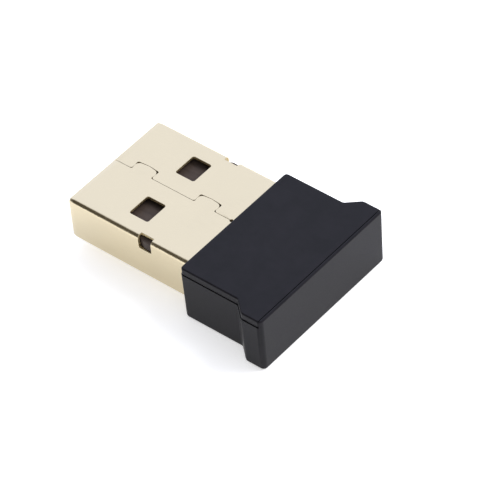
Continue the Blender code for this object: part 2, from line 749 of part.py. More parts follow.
def regulator_leads_tool():
    """Five bent leads, two on one long side and three on the other."""
    builder = bmesh.new()
    root = BOARD_TOP_Z + JOINT_GAP
    level = root + LEAD_LEVEL
    reach = 0.5 * REGULATOR_LENGTH + LEAD_REACH
    shoulder = 0.5 * REGULATOR_LENGTH + LEAD_SHOULDER
    inside = 0.5 * REGULATOR_LENGTH - LEAD_ROOT
    profile = [
        (reach, root),
        (reach, root + LEAD_THICKNESS),
        (shoulder + LEAD_THICKNESS, root + LEAD_THICKNESS),
        (shoulder + LEAD_THICKNESS, level + LEAD_THICKNESS),
        (inside, level + LEAD_THICKNESS),
        (inside, level),
        (shoulder, level),
        (shoulder, root),
    ]
    middle_x, middle_y = REGULATOR_PLACE
    for side, places in ((-1, (-1, 1)), (1, (-1, 0, 1))):
        outline = [(TIP_X + middle_x + side * x, z) for x, z in profile]
        for place in places:
            middle = middle_y + place * LEAD_PITCH
            prism_y(builder, outline, middle - 0.5 * LEAD_WIDTH, middle + 0.5 * LEAD_WIDTH)
    return add_tool("tool_regulator_leads", builder)


def make_regulator(material):
    """A small moulded body that stands on five bent leads."""
    root = BOARD_TOP_Z + JOINT_GAP + REGULATOR_STANDOFF
    levels = [(root + share * REGULATOR_HEIGHT, inset) for share, inset in REGULATOR_SIDES]
    builder = bmesh.new()
    stacked(builder, REGULATOR_PLACE, REGULATOR_LENGTH, REGULATOR_WIDTH, PACKAGE_CORNER, 2, levels)
    regulator = add_object("voltage_regulator", builder, material)
    combine(regulator, regulator_leads_tool(), "UNION")
    return regulator


def make_crystal(ceramic, metal):
    """A ceramic tray with a metal lid."""
    make_package("crystal_base", CRYSTAL_PLACE, CRYSTAL_SIZE, ceramic)
    low = BOARD_TOP_Z + JOINT_GAP + CRYSTAL_SIZE[2] + JOINT_GAP
    levels = [(low + rise, inset) for rise, inset in CRYSTAL_LID_SIDES]
    builder = bmesh.new()
    stacked(builder, CRYSTAL_PLACE, CRYSTAL_LID_LENGTH, CRYSTAL_LID_WIDTH, CRYSTAL_LID_CORNER, 3,
            levels)
    add_object("crystal_lid", builder, metal)


def build():
    clear_scene()
    materials = {name: make_material(name, *values) for name, values in MATERIALS.items()}
    make_shell(materials["gold_plate"])
    make_carrier(materials["carrier_black"])
    make_contacts(materials["contact_gold"])
    make_base(materials["housing_black"])
    make_cover(materials["housing_black"])
    make_board(materials["board_green"])
    make_regulator(materials["package_black"])
    make_crystal(materials["white_ceramic"], materials["lid_metal"])
    for name, place, size, slot in LOWER_PACKAGES:
        make_package(name, place, size, materials[slot], below=True)
    for name, place, size, slot in TWO_TERMINAL_PARTS:
        make_two_terminal(name, place, size, materials[slot])
    antenna = materials["white_ceramic"]
    make_two_terminal("chip_antenna", ANTENNA_PLACE, ANTENNA_SIZE, antenna, along_x=False)


build()
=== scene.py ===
"""Looks of the small USB wireless adapter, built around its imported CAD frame.

The shell, the carrier, the contacts and the two halves of the housing are rebuilt here as finer
meshes in the place of their CAD nodes. The circuit board and its parts stay as CAD nodes with better
materials. Meshes are built in millimetres and brought to metres at the end of each piece.
"""

import math

import bmesh
import bpy
from mathutils import Matrix, Vector


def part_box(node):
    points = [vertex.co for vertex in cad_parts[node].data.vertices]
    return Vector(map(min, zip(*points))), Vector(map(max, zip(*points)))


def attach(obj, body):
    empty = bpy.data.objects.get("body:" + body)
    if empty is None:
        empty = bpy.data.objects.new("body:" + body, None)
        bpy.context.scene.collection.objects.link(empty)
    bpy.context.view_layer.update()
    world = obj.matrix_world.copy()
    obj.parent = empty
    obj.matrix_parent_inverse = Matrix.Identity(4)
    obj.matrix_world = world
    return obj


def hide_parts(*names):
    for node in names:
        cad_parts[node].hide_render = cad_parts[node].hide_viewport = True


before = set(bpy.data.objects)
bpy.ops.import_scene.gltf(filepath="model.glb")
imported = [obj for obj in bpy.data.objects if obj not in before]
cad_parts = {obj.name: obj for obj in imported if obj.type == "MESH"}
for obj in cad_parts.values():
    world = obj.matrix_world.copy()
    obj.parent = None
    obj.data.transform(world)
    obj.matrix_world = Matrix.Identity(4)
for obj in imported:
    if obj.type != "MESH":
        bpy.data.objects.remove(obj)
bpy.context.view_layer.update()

MM = 0.001


def node_box(name):
    """Lowest and highest corner of a CAD node, in millimetres."""
    low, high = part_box(name)
    return Vector(low) / MM, Vector(high) / MM


shell_low, shell_high = node_box("metal_shell")
base_low, base_high = node_box("housing_base")
cover_low, cover_high = node_box("housing_cover")
carrier_low, carrier_high = node_box("contact_carrier")
board_low, board_high = node_box("circuit_board")

# Plug shell, in millimetres.
TIP_X = shell_low.x
SHELL_BOTTOM = shell_low.z
SHELL_TOP = shell_high.z
SHELL_HALF = shell_high.y
SHELL_BACK = TIP_X + 15.0
SHEET = 0.3
SHELL_BEND = 0.42
SHELL_INNER_BEND = 0.12
SHOULDER_MARGIN = 0.05
SHOULDER = base_low.x - SHOULDER_MARGIN
SHELL_BACK_TAPER = 0.04
TAB_LOW = SHELL_BOTTOM + 1.0
TAB_HIGH = SHELL_BOTTOM + 3.0
NOSE_DEPTH = 0.1
NOSE_LENGTH = 0.6
NOSE_STEPS = 12
SHEARED_EDGE = 0.08
SEAM_EDGE = 0.025
CUT_FACE_MARGIN = 0.04

WINDOW_FRONT = TIP_X + 5.35
WINDOW_LENGTH = 2.05
WINDOW_WIDTH = 2.4
WINDOW_INNER_Y = 1.8
WINDOW_CORNER = 0.2
NOTCH_FRONT = TIP_X + 7.8
NOTCH_LENGTH = 1.38
NOTCH_DEPTH = 1.3
NOTCH_INNER_Y = 5.45
NOTCH_CORNER = 0.12

# Seam: one edge has pockets, the other has tabs with rounder corners.
SEAM_GAP = 0.042
SEAM_Y = 0.02
POCKET_CORNER = 0.15
POCKET_FOOT = 0.24
TAB_CORNER = 0.46
TAB_FOOT = 0.14
SEAM_TAB_CENTRES = (TIP_X + 3.07, TIP_X + 10.06)
SEAM_TAB_HALF = 1.1
SEAM_TAB_HEIGHT = 0.97
SEAM_TAB_FLARE = 0.05
SEAM_TAB_CROWN = 0.08
SEAM_HOLE_X = TIP_X + 13.05
SEAM_HOLE_RADIUS = 0.14

# Housing. The end wall of the tray rises to the top behind the lid.
FRONT_X = base_low.x
END_X = TIP_X + 22.9
LID_END_X = cover_high.x
HEIGHT = base_high.z
PARTING_Z = 5.05
PARTING_GAP = 0.08
PARTING_EDGE = 0.05
LID_STEP = 0.06
NARROW_HALF = 7.04
WIDE_HALF = 8.14
FLARE_FRONT = TIP_X + 19.4
FLARE_ANGLE = 41.0
FLARE_FOOT = 0.3
FLARE_CREST = 0.6
DRAFT = 0.1
FRONT_CORNER = 0.4
END_CORNER = 0.45
TOP_EDGE = 0.15
BOTTOM_EDGE = 0.3
WALL = 0.85
INNER_FRONT_CORNER = 0.3
INNER_CREST = 0.2
INNER_END_CORNER = 0.4
FLOOR = 0.7
CEILING_Z = 5.15
LIP_THICKNESS = 0.4
LIP_BOTTOM_Z = cover_low.z
SHELL_CLEARANCE = 0.06
JOINT_GAP = 0.05
SMALLEST_CORNER = 0.05
RIB_FRONT = TIP_X + 18.0
RIB_BACK = TIP_X + 18.6
BASE_RIB = (5.3, 6.4)
LID_RIB = (5.1, 5.8)
LID_RIB_TOP_Z = CEILING_Z + 0.1

# Carrier and contacts.
CARRIER_UNDER = SHELL_BOTTOM + 2.15
CARRIER_BLOCK_FRONT = TIP_X + 11.6
CARRIER_HALF = 5.64
CARRIER_LEAD = 0.35
WINDOW_POCKET_Z = SHELL_BOTTOM + 3.88
WINDOW_POCKET_MARGIN = 0.25
LATCH_GAP = 0.06
LATCH_RAMP = 0.5
LATCH_ROOT_Y = CARRIER_HALF - 0.3
LATCH_LOW_Z = SHELL_TOP - NOTCH_DEPTH + 0.08
LATCH_TOP_Z = carrier_high.z - 0.04
CONTACT_NODES = ("contact_vbus", "contact_data_minus", "contact_data_plus", "contact_ground")
CONTACT_THICKNESS = 0.2
CONTACT_TURN = 0.6
CONTACT_STEPS = 8
MOULDED_EDGE = 0.03

# Angles in degrees: edges sharper than the first are rounded, and than the second shaded sharp.
ROUNDED_ANGLE = 40.0
SHARP_ANGLE = 35.0

# Surfaces: the two colours that each one is mottled between, and how strongly the plastics mirror.
GOLD_COLOURS = ((0.605, 0.525, 0.36), (0.64, 0.555, 0.38))
GOLD_LINE_COLOUR = (0.625, 0.543, 0.373)
CUT_GOLD_COLOURS = ((0.50, 0.40, 0.21), (0.66, 0.54, 0.31))
CONTACT_COLOURS = ((0.90, 0.66, 0.29), (0.94, 0.73, 0.38))
HOUSING_COLOURS = ((0.007, 0.0066, 0.0088), (0.0108, 0.01, 0.0133))
CARRIER_COLOURS = ((0.045, 0.032, 0.026), (0.063, 0.045, 0.036))
BOARD_COLOURS = ((0.012, 0.11, 0.045), (0.03, 0.21, 0.085))
LID_COLOURS = ((0.66, 0.63, 0.56), (0.74, 0.71, 0.65))
PAPER_COLOURS = ((0.86, 0.86, 0.86), (0.89, 0.89, 0.89))
PACKAGE_COLOUR = (0.022, 0.022, 0.024)
FERRITE_COLOUR = (0.06, 0.06, 0.065)
CERAMIC_COLOUR = (0.50, 0.47, 0.42)
HOUSING_SPECULAR = 0.135
CARRIER_SPECULAR = 0.2

# The middle band of a noise, which is spread over the whole range of a colour or a roughness.
NOISE_BAND = (0.3, 0.7)

# Camera: where it looks from, and where its centre line passes the object.
CAMERA_AZIMUTH = 43.88
CAMERA_ELEVATION = 44.33
CAMERA_ROLL = -6.01
CAMERA_DISTANCE = 326.85 * MM
CAMERA_LENS = 290.5
CAMERA_AIM = Vector((1.53, 0.89, 2.47)) * MM

# Studio. Each wall is a direction, the angles where it is full and where it ends, and a colour.
FLOOR_DROP = 0.02 * MM
TABLE_GLOW = 0.61
ROOM = (0.62, 0.62, 0.64)
WALLS = (
    ((-0.55, 0.70, 0.45), 35.0, 55.0, (1.32, 1.40, 1.68)),
    ((0.70, 0.55, 0.40), 20.0, 40.0, (1.00, 1.00, 1.10)),
    ((-0.50, -0.62, 0.60), 23.0, 38.0, (0.10, 0.09, 0.07)),
)

# The one softbox: where it hangs from the object, its distance and size in metres, and its power.
KEY_DIRECTION = (0.4, 0.6, 0.7)
KEY_DISTANCE = 0.5
KEY_SIZE = 0.35
KEY_POWER = 2.0
WHITE = (1.0, 1.0, 1.0)


# ---------------------------------------------------------------- mesh helpers


def arc(centre_a, centre_b, radius, start, end, steps):
    """Points on an arc, with both ends, as pairs. Angles are in degrees."""
    points = []
    for step in range(steps + 1):
        angle = math.radians(start + (end - start) * step / steps)
        points.append((centre_a + radius * math.cos(angle), centre_b + radius * math.sin(angle)))
    return points


def rounded_rectangle(low_a, high_a, low_b, high_b, radius, steps=8):
    """Closed outline of a rectangle with round corners, as pairs."""
    outline = arc(high_a - radius, high_b - radius, radius, 0, 90, steps)
    outline += arc(low_a + radius, high_b - radius, radius, 90, 180, steps)
    outline += arc(low_a + radius, low_b + radius, radius, 180, 270, steps)
    outline += arc(high_a - radius, low_b + radius, radius, 270, 360, steps)
    return outline


def skin(builder, rings, loop=False):
    """Join rings of equal length with faces. The ends are capped, or joined when loop is set."""
    rows = [[builder.verts.new(point) for point in ring] for ring in rings]
    count = len(rows[0])
    pairs = list(zip(rows[:-1], rows[1:]))
    if loop:
        pairs.append((rows[-1], rows[0]))
    else:
        builder.faces.new(rows[0])
        builder.faces.new(rows[-1])
    for first, second in pairs:
        for index in range(count):
            following = (index + 1) % count
            builder.faces.new((first[index], first[following], second[following], second[index]))


def add_box(builder, low, high):
    """A plain box between two corners."""
    (ax, ay, az), (bx, by, bz) = low, high
    corners = ((ax, ay), (bx, ay), (bx, by), (ax, by))
    skin(builder, [[(x, y, z) for x, y in corners] for z in (az, bz)])


def prism_z(builder, outline, low, high):
    """An outline in X and Y, raised along Z."""
    skin(builder, [[(x, y, z) for x, y in outline] for z in (low, high)])


def prism_y(builder, outline, low, high):
    """An outline in X and Z, raised along Y."""
    skin(builder, [[(x, y, z) for x, z in outline] for y in (low, high)])


def add_object(name, builder):
    """Turn a bmesh into an object with outward faces."""
    bmesh.ops.recalc_face_normals(builder, faces=builder.faces[:])
    mesh = bpy.data.meshes.new(name)
    builder.to_mesh(mesh)
    builder.free()
    item = bpy.data.objects.new(name, mesh)
    bpy.context.collection.objects.link(item)
    return item


def combine(item, builder, operation):
    """Cut or join a helper solid with an object, for good."""
    tool = add_object("tool", builder)
    modifier = item.modifiers.new("combine", "BOOLEAN")
    modifier.operation = operation
    modifier.object = tool
    modifier.solver = "EXACT"
    settle(item)
    bpy.data.objects.remove(tool, do_unlink=True)


def settle(item):
    """Replace an object's mesh by what its modifiers make of it."""
    graph = bpy.context.evaluated_depsgraph_get()
    mesh = bpy.data.meshes.new_from_object(item.evaluated_get(graph))
    item.modifiers.clear()
    old = item.data
    item.data = mesh
    bpy.data.meshes.remove(old)


def round_edges(item, radius, segments=2):
    """Round the edges that are sharper than the rounding angle."""
    bevel = item.modifiers.new("edge", "BEVEL")
    bevel.width = radius
    bevel.segments = segments
    bevel.limit_method = "ANGLE"
    bevel.angle_limit = math.radians(ROUNDED_ANGLE)
    bevel.use_clamp_overlap = True
    bevel.harden_normals = False
    settle(item)


def finish_piece(item, node, material, edge):
    """Round the sharp edges a little, shade, bring to metres and put in the node's place."""
    round_edges(item, edge)
    item.data.shade_smooth()
    item.data.set_sharp_from_angle(angle=math.radians(SHARP_ANGLE))
    item.data.transform(Matrix.Scale(MM, 4))
    weights = item.modifiers.new("weights", "WEIGHTED_NORMAL")
    weights.keep_sharp = True
    item.data.materials.clear()
    item.data.materials.append(material)
    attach(item, "root")
    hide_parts(node)
    return item


# ---------------------------------------------------------------- materials


class Nodes:
    """A short way to write a procedural material around one Principled BSDF."""

    def __init__(self, name):
        self.material = bpy.data.materials.new(name)
        self.material.use_nodes = True
        self.tree = self.material.node_tree
        self.shader = self.tree.nodes["Principled BSDF"]
        coordinates = self.tree.nodes.new("ShaderNodeTexCoord")
        self.position = coordinates.outputs["Object"]

    def link(self, source, target):
        self.tree.links.new(source, target)

    def stretched(self, scale):
        """Object coordinates, scaled along each axis."""
        mapping = self.tree.nodes.new("ShaderNodeMapping")
        mapping.inputs["Scale"].default_value = scale
        self.link(self.position, mapping.inputs["Vector"])
        return mapping.outputs["Vector"]

    def noise(self, scale, detail=2.0, roughness=0.5, vector=None):
        node = self.tree.nodes.new("ShaderNodeTexNoise")
        node.inputs["Scale"].default_value = scale
        node.inputs["Detail"].default_value = detail
        node.inputs["Roughness"].default_value = roughness
        self.link(vector or self.position, node.inputs["Vector"])
        return node.outputs["Fac"]

    def bend_mask(self):
        """One where the surface turns between level and upright, nothing on flat faces."""
        geometry = self.tree.nodes.new("ShaderNodeNewGeometry")
        split = self.tree.nodes.new("ShaderNodeSeparateXYZ")
        self.link(geometry.outputs["Normal"], split.inputs["Vector"])
        level = self.math("ABSOLUTE", split.outputs["Z"])
        middle = self.math("ABSOLUTE", self.math("SUBTRACT", level, 0.6))
        return self.spread(middle, 0.38, 0.25)

    def spread(self, value, low, high, to_low=0.0, to_high=1.0):
        """Map a range of a value to another range."""
        node = self.tree.nodes.new("ShaderNodeMapRange")
        node.inputs["From Min"].default_value = low
        node.inputs["From Max"].default_value = high
        node.inputs["To Min"].default_value = to_low
        node.inputs["To Max"].default_value = to_high
        self.link(value, node.inputs["Value"])
        return node.outputs["Result"]

    def math(self, operation, first, second=None):
        node = self.tree.nodes.new("ShaderNodeMath")
        node.operation = operation
        for socket, value in zip(node.inputs, (first, second)):
            if value is None:
                continue
            if isinstance(value, (int, float)):
                socket.default_value = value
            else:
                self.link(value, socket)
        return node.outputs["Value"]

    def mix(self, factor, first, second):
        """Blend two colours."""
        node = self.tree.nodes.new("ShaderNodeMix")
        node.data_type = "RGBA"
        self.link(factor, node.inputs["Factor"])
        colours = [item for item in node.inputs if item.type == "RGBA"]
        for socket, value in zip(colours, (first, second)):
            if isinstance(value, tuple):
                socket.default_value = (*value, 1.0)
            else:
                self.link(value, socket)
        return [item for item in node.outputs if item.type == "RGBA"][0]

    def bump(self, height, distance, strength=1.0, normal=None):
        node = self.tree.nodes.new("ShaderNodeBump")
        node.inputs["Strength"].default_value = strength
        node.inputs["Distance"].default_value = distance
        self.link(height, node.inputs["Height"])
        if normal is not None:
            self.link(normal, node.inputs["Normal"])
        return node.outputs["Normal"]

    def set(self, **values):
        """Set or link sockets of the shader; spaces in their names are written as underscores."""
        for key, value in values.items():
            socket = self.shader.inputs[key.replace("_", " ")]
            if isinstance(value, bpy.types.NodeSocket):
                self.link(value, socket)
            elif isinstance(value, tuple):
                socket.default_value = (*value, 1.0)
            else:
                socket.default_value = value


def gold_plate():
    """Thin gold plate over rolled sheet: faint rolling lines, cloudy tint, creased bends."""
    nodes = Nodes("gold_plate")
    cloud = nodes.noise(260.0, 2.0, 0.55)
    lines = nodes.noise(1.0, 3.0, 0.6, nodes.stretched((1200.0, 9000.0, 9000.0)))
    speckle = nodes.noise(7000.0, 2.0, 0.6)
    tint = nodes.mix(nodes.spread(cloud, *NOISE_BAND), *GOLD_COLOURS)
    colour = nodes.mix(nodes.spread(lines, 0.35, 0.65), tint, GOLD_LINE_COLOUR)
    roughness = nodes.spread(nodes.math("ADD", lines, cloud), 0.7, 1.3, 0.17, 0.27)
    dents = nodes.bump(nodes.noise(330.0, 1.0, 0.4), 0.9e-5)
    crease = nodes.math("MULTIPLY", nodes.bend_mask(), nodes.noise(4200.0, 2.0, 0.6))
    creased = nodes.bump(crease, 1.6e-5, 1.0, dents)
    grain = nodes.bump(lines, 0.8e-6, 1.0, creased)
    grain = nodes.bump(speckle, 0.5e-6, 1.0, grain)
    nodes.set(Base_Color=colour, Metallic=1.0, Roughness=roughness, Normal=grain)
    return nodes.material


def cut_gold():
    """Sheared faces of the sheet: plated too, but torn and dull, with marks across them."""
    nodes = Nodes("cut_gold")
    tears = nodes.noise(11000.0, 3.0, 0.7)
    cloud = nodes.noise(2500.0, 2.0, 0.5)
    colour = nodes.mix(nodes.spread(cloud, *NOISE_BAND), *CUT_GOLD_COLOURS)
    roughness = nodes.spread(tears, *NOISE_BAND, 0.45, 0.7)
    nodes.set(Base_Color=colour, Metallic=1.0, Roughness=roughness,
              Normal=nodes.bump(tears, 6.0e-6))
    return nodes.material


def contact_gold():
    """Harder, yellower gold on the contact strips, with wiping marks along them."""
    nodes = Nodes("contact_gold")
    wipes = nodes.noise(1.0, 3.0, 0.6, nodes.stretched((700.0, 14000.0, 14000.0)))
    cloud = nodes.noise(700.0, 2.0, 0.5)
    colour = nodes.mix(nodes.spread(cloud, *NOISE_BAND), *CONTACT_COLOURS)
    roughness = nodes.spread(wipes, *NOISE_BAND, 0.12, 0.26)
    nodes.set(Base_Color=colour, Metallic=1.0, Roughness=roughness,
              Normal=nodes.bump(wipes, 0.8e-6))
    return nodes.material


def housing_black():
    """Moulded black plastic: fine eroded grain, slow sinks in the walls, a trace of handling."""
    nodes = Nodes("housing_black")
    sinks = nodes.noise(190.0, 1.0, 0.4)
    grain = nodes.noise(9000.0, 2.0, 0.65)
    handling = nodes.noise(600.0, 4.0, 0.6)
    colour = nodes.mix(nodes.spread(handling, 0.35, 0.7), *HOUSING_COLOURS)
    roughness = nodes.spread(nodes.math("ADD", handling, grain), 0.7, 1.3, 0.36, 0.46)
    normal = nodes.bump(sinks, 0.8e-5)
    normal = nodes.bump(grain, 1.0e-6, 1.0, normal)
    nodes.set(Base_Color=colour, Roughness=roughness, Specular_IOR_Level=HOUSING_SPECULAR,
              Normal=normal)
    return nodes.material


def carrier_black():
    """Matte glass-filled black plastic of the contact carrier."""
    nodes = Nodes("carrier_black")
    grain = nodes.noise(6000.0, 3.0, 0.6)
    flow = nodes.noise(1.0, 2.0, 0.5, nodes.stretched((500.0, 2500.0, 2500.0)))
    colour = nodes.mix(nodes.spread(flow, *NOISE_BAND), *CARRIER_COLOURS)
    roughness = nodes.spread(grain, *NOISE_BAND, 0.42, 0.6)
    nodes.set(Base_Color=colour, Roughness=roughness, Specular_IOR_Level=CARRIER_SPECULAR,
              Normal=nodes.bump(grain, 2.5e-6))
    return nodes.material


def board_green():
    """Solder mask over copper tracks on glass cloth."""
    nodes = Nodes("board_green")
    brick = nodes.tree.nodes.new("ShaderNodeTexBrick")
    brick.inputs["Scale"].default_value = 900.0
    brick.inputs["Mortar Size"].default_value = 0.12
    brick.inputs["Mortar Smooth"].default_value = 0.3
    nodes.link(nodes.position, brick.inputs["Vector"])
    cloth = nodes.noise(9000.0, 1.0, 0.5)
    tracks = nodes.spread(brick.outputs["Fac"], 0.0, 1.0)
    colour = nodes.mix(tracks, *BOARD_COLOURS)
    normal = nodes.bump(tracks, 1.0e-5)
    normal = nodes.bump(cloth, 1.5e-6, 1.0, normal)
    nodes.set(Base_Color=colour, Roughness=nodes.spread(cloth, *NOISE_BAND, 0.28, 0.4),
              Normal=normal)
    return nodes.material


def package_black(name="package_black", colour=PACKAGE_COLOUR):
    """Moulding compound of a chip: dull, with a fine pebble grain."""
    nodes = Nodes(name)
    grain = nodes.noise(12000.0, 2.0, 0.6)
    lighter = tuple(1.5 * part for part in colour)
    nodes.set(Base_Color=nodes.mix(nodes.spread(grain, 0.35, 0.65), colour, lighter),
              Roughness=nodes.spread(grain, *NOISE_BAND, 0.5, 0.68),
              Normal=nodes.bump(grain, 2.0e-6))
    return nodes.material


def lid_metal():
    """Nickel-coloured lid of the crystal."""
    nodes = Nodes("lid_metal")
    lines = nodes.noise(1.0, 2.0, 0.5, nodes.stretched((9000.0, 900.0, 900.0)))
    nodes.set(Base_Color=nodes.mix(lines, *LID_COLOURS), Metallic=1.0,
              Roughness=nodes.spread(lines, *NOISE_BAND, 0.2, 0.34),
              Normal=nodes.bump(lines, 0.8e-6))
    return nodes.material


def terminal_part(node, body_colour):
    """A chip part: fired body between two tinned ends, told apart by the place along its length."""
    low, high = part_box(node)
    low, high = Vector(low), Vector(high)
    size = high - low
    axis = 0 if size.x > size.y else 1
    middle = 0.5 * (low[axis] + high[axis])
    body_half = 0.28 * size[axis]
    nodes = Nodes(node)
    split = nodes.tree.nodes.new("ShaderNodeSeparateXYZ")
    nodes.link(nodes.position, split.inputs["Vector"])
    distance = nodes.math("ABSOLUTE", nodes.math("SUBTRACT", split.outputs[axis], middle))
    ends = nodes.math("GREATER_THAN", distance, body_half)
    grain = nodes.noise(14000.0, 2.0, 0.6)
    lighter = tuple(1.3 * part for part in body_colour)
    body = nodes.mix(nodes.spread(grain, 0.35, 0.65), body_colour, lighter)
    tin = nodes.mix(grain, (0.58, 0.57, 0.55), (0.70, 0.69, 0.67))
    nodes.set(Base_Color=nodes.mix(ends, body, tin), Metallic=ends,
              Roughness=nodes.spread(grain, 0.3, 0.7, 0.3, 0.5), Normal=nodes.bump(grain, 2.0e-6))
    return nodes.material


# ---------------------------------------------------------------- plug shell


def shell_section(distance, inset):
    """Cross-section of the shell, a given distance from the tip, as a ring of points."""
    half = SHELL_HALF - inset
    radius = max(SHELL_BEND - inset, SHELL_INNER_BEND)
    outline = rounded_rectangle(-half, half, SHELL_BOTTOM + inset, SHELL_TOP - inset, radius)
    return [(TIP_X + distance, y, z) for y, z in outline]


def nose_inset(distance):
    """How far the lead-in at the mouth stands inside the straight shell."""
    reach = min(distance / NOSE_LENGTH, 1.0)
    return NOSE_DEPTH * (1.0 - reach) ** 2


def seam_edge(shift, corner, foot):
    """One edge of the seam from the mouth to the back; shift is its distance from the middle."""
    back = shell_high.x + SHEET
    edge = [(TIP_X - SHEET, SEAM_Y + shift)]
    half = SEAM_TAB_HALF + shift
    top = SEAM_Y + SEAM_TAB_HEIGHT + shift
    level = SEAM_Y + shift
    for middle in SEAM_TAB_CENTRES:
        left = arc(middle - half - foot, level + foot, foot, -90, 0, 6)
        inner = half + SEAM_TAB_FLARE - corner
        left += arc(middle - inner, top - corner, corner, 180, 96, 8)
        edge += left
        edge.append((middle, top + SEAM_TAB_CROWN))
        edge += [(2.0 * middle - x, y) for x, y in reversed(left)]
    edge.append((back, level))
    return edge


def seam_tool():
    """The gap between the two edges. The tab's corners are rounder than the pocket's."""
    pocket = seam_edge(0.5 * SEAM_GAP, POCKET_CORNER, POCKET_FOOT)
    tab = seam_edge(-0.5 * SEAM_GAP, TAB_CORNER, TAB_FOOT)
    low = SHELL_BOTTOM + 0.5 * (SHELL_TOP - SHELL_BOTTOM)
    high = SHELL_TOP + SHEET
    rings = []
    for (left_x, left_y), (right_x, right_y) in zip(pocket, tab):
        rings.append([
            (left_x, left_y, low),
            (right_x, right_y, low),
            (right_x, right_y, high),
            (left_x, left_y, high),
        ])
    builder = bmesh.new()
    skin(builder, rings)
    return builder


def window_outline(side, margin=0.0):
    """Outline of the window on one side of the seam, in X and Y."""
    near = side * (WINDOW_INNER_Y - margin)
    far = side * (WINDOW_INNER_Y + WINDOW_WIDTH + margin)
    front = WINDOW_FRONT - margin
    back = WINDOW_FRONT + WINDOW_LENGTH + margin
    return rounded_rectangle(front, back, min(near, far), max(near, far), WINDOW_CORNER, 6)


def shell_openings_tool():
    """The windows through both wide faces, and the small hole at the end of the seam."""
    builder = bmesh.new()
    for side in (-1, 1):
        prism_z(builder, window_outline(side), SHELL_BOTTOM - SHEET, SHELL_TOP + SHEET)
    hole = arc(SEAM_HOLE_X, SEAM_Y, SEAM_HOLE_RADIUS, 0, 345, 23)
    prism_z(builder, hole, 0.5 * (SHELL_BOTTOM + SHELL_TOP), SHELL_TOP + SHEET)
    return builder


def shell_notches_tool():
    """The notches across both seam-side bends, where the carrier latches."""
    builder = bmesh.new()
    outline = rounded_rectangle(NOTCH_FRONT, NOTCH_FRONT + NOTCH_LENGTH, SHELL_TOP - NOTCH_DEPTH,
                                SHELL_TOP + SHEET, NOTCH_CORNER, 6)
    outside = SHELL_HALF + SHEET
    prism_y(builder, outline, NOTCH_INNER_Y, outside)
    prism_y(builder, outline, -outside, -NOTCH_INNER_Y)
    return builder


def shell_back_tool():
    """Takes the wide faces off behind the shell, which leaves the two solder tabs."""
    builder = bmesh.new()
    back = shell_high.x + SHEET
    half = SHELL_HALF + SHEET
    add_box(builder, (SHELL_BACK, -half, SHELL_BOTTOM - SHEET), (back, half, TAB_LOW))
    add_box(builder, (SHELL_BACK, -half, TAB_HIGH), (back, half, SHELL_TOP + SHEET))
    return builder


def sheet_depth(y, z):
    """How far a point in the section lies below the outer surface of the straight shell."""
    middle = 0.5 * (SHELL_BOTTOM + SHELL_TOP)
    across = abs(y) - (SHELL_HALF - SHELL_BEND)
    upright = abs(z - middle) - (SHELL_TOP - middle - SHELL_BEND)
    beyond = math.hypot(max(across, 0.0), max(upright, 0.0))
    return SHELL_BEND - beyond - min(max(across, upright), 0.0)


def dress_cut_faces(shell, material):
    """Give the cut faces of the sheet their own material."""
    shell.data.materials.append(material)
    for face in shell.data.polygons:
        x, y, z = face.center / MM
        depth = sheet_depth(y, z)
        inside = CUT_FACE_MARGIN < depth < SHEET - CUT_FACE_MARGIN
        if inside and x - TIP_X > NOSE_LENGTH:
            face.material_index = 1


def make_shell(material, cut_material):
    """The folded tube with its lead-in, then the openings cut through it."""
    stations = []
    for step in range(NOSE_STEPS + 1):
        distance = NOSE_LENGTH * step / NOSE_STEPS
        stations.append((distance, nose_inset(distance)))
    stations.append((SHOULDER - TIP_X, 0.0))
    stations.append((shell_high.x - TIP_X, SHELL_BACK_TAPER))
    outer = [shell_section(distance, inset) for distance, inset in stations]
    inner = [shell_section(distance, inset + SHEET) for distance, inset in stations]
    builder = bmesh.new()
    skin(builder, outer + inner[::-1], loop=True)
    shell = add_object("plug_shell", builder)
    for tool in (shell_openings_tool(), shell_notches_tool(), shell_back_tool()):
        combine(shell, tool, "DIFFERENCE")
    round_edges(shell, SHEARED_EDGE, segments=3)
    combine(shell, seam_tool(), "DIFFERENCE")
    finish_piece(shell, "metal_shell", material, SEAM_EDGE)
    dress_cut_faces(shell, cut_material)


# ---------------------------------------------------------------- carrier and contacts


def contact_profile(node, grow):
    """Side view of a contact strip whose front end turns up, thicker by grow all round."""
    low, high = node_box(node)
    rise = high.z - low.z - CONTACT_THICKNESS
    under = []
    over = []
    for step in range(CONTACT_STEPS + 1):
        part = step / CONTACT_STEPS
        lift = rise * (1.0 - part) ** 2
        place = low.x - grow + CONTACT_TURN * part
        under.append((place, low.z - grow + lift))
        over.append((place, low.z + CONTACT_THICKNESS + grow + lift))
    back = high.x + grow
    tail = [(back, low.z + CONTACT_THICKNESS + grow), (back, low.z - grow)]
    return over + tail + under[::-1]


def make_contacts(material):
    for node in CONTACT_NODES:
        low, high = node_box(node)
        builder = bmesh.new()
        prism_y(builder, contact_profile(node, 0.0), low.y, high.y)
        strip = add_object(node.replace("contact", "strip"), builder)
        finish_piece(strip, node, material, MOULDED_EDGE)


def carrier_slots_tool():
    """A channel for each contact, open downwards, and a shallow pocket under each window."""
    builder = bmesh.new()
    for node in CONTACT_NODES:
        low, high = node_box(node)
        prism_y(builder, contact_profile(node, JOINT_GAP), low.y - JOINT_GAP, high.y + JOINT_GAP)
    for side in (-1, 1):
        outline = window_outline(side, WINDOW_POCKET_MARGIN)
        prism_z(builder, outline, WINDOW_POCKET_Z, carrier_high.z + SHEET)
    return builder


